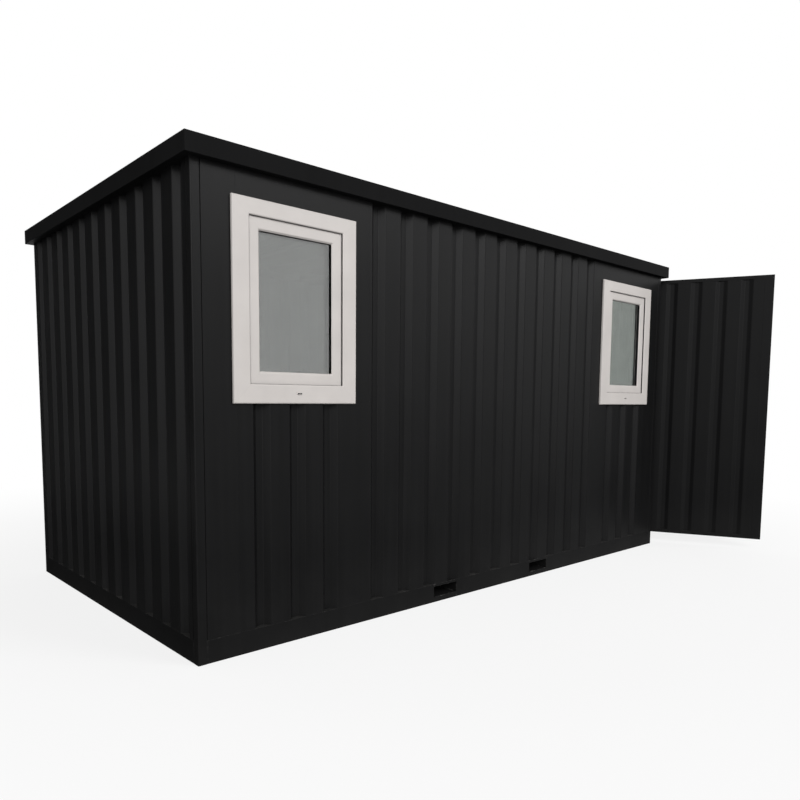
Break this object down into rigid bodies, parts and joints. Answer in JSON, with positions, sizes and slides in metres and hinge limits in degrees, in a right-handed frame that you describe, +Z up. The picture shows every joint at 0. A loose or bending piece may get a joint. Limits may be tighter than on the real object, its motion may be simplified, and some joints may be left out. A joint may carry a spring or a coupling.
{
  "type": "shipping container cabin",
  "caption": "Black flat-pack steel container cabin with corrugated walls, white-framed windows, fork pockets, an overhanging gutter-edged roof and a hinged steel door.",
  "frame": {"origin": "on the ground under the middle of the cabin's base, on the underside of the middle floor joist", "axes": "+X towards the door end, -Y towards the side with the windows, +Z up"},
  "size_m": [4.471, 2.9121, 2.21],
  "materials": {
    "black_sheet_paint": "satin black coil coating",
    "black_frame_paint": "satin black powder coat",
    "black_roof_paint": "satin black coil coating",
    "hinge_steel": "black paint, worn at the pins",
    "white_plastic": "white moulded window profile",
    "glass": "clear sealed glazing",
    "plywood": "oiled plywood"
  },
  "bodies": {
    "cabin": {"base_rail_front": "black_frame_paint", "base_rail_back": "black_frame_paint", "base_rail_left": "black_frame_paint", "base_rail_right": "black_frame_paint", "pocket_bridges": "black_frame_paint", "fork_pocket_left": "black_frame_paint", "fork_pocket_right": "black_frame_paint", "floor_joists": "black_frame_paint", "floor_deck": "plywood", "corner_post_front_left": "black_sheet_paint", "corner_post_back_left": "black_sheet_paint", "corner_post_front_right": "black_sheet_paint", "corner_post_back_right": "black_sheet_paint", "front_wall": "black_sheet_paint", "back_wall": "black_sheet_paint", "left_wall": "black_sheet_paint", "right_wall": "black_sheet_paint", "front_strip_left": "black_sheet_paint", "front_short_sheet_left": "black_sheet_paint", "window_plate_left": "black_sheet_paint", "window_frame_left": "white_plastic", "window_sash_left": "white_plastic", "window_glass_left": "glass", "front_strip_right": "black_sheet_paint", "front_short_sheet_right": "black_sheet_paint", "window_plate_right": "black_sheet_paint", "window_frame_right": "white_plastic", "window_sash_right": "white_plastic", "window_glass_right": "glass", "door_jamb_front": "black_sheet_paint", "door_jamb_back": "black_sheet_paint", "door_header": "black_sheet_paint", "door_sill": "black_sheet_paint", "door_hinge_pins": "hinge_steel", "roof_edge_front": "black_roof_paint", "roof_edge_back": "black_roof_paint", "roof_edge_left": "black_roof_paint", "roof_edge_right": "black_roof_paint", "roof_beams": "black_roof_paint", "roof_sheet": "black_roof_paint"},
    "door": {"door_rim": "black_sheet_paint", "door_sheet": "black_sheet_paint", "door_hinge_sleeves": "hinge_steel"}
  },
  "joints": [
    {"name": "door_hinge", "type": "hinge", "parent": "cabin", "child": "door", "pos_m": [2.027, -0.951, 0], "axis": [0, 0, -1], "range_deg": [-155, 25]}
  ]
}
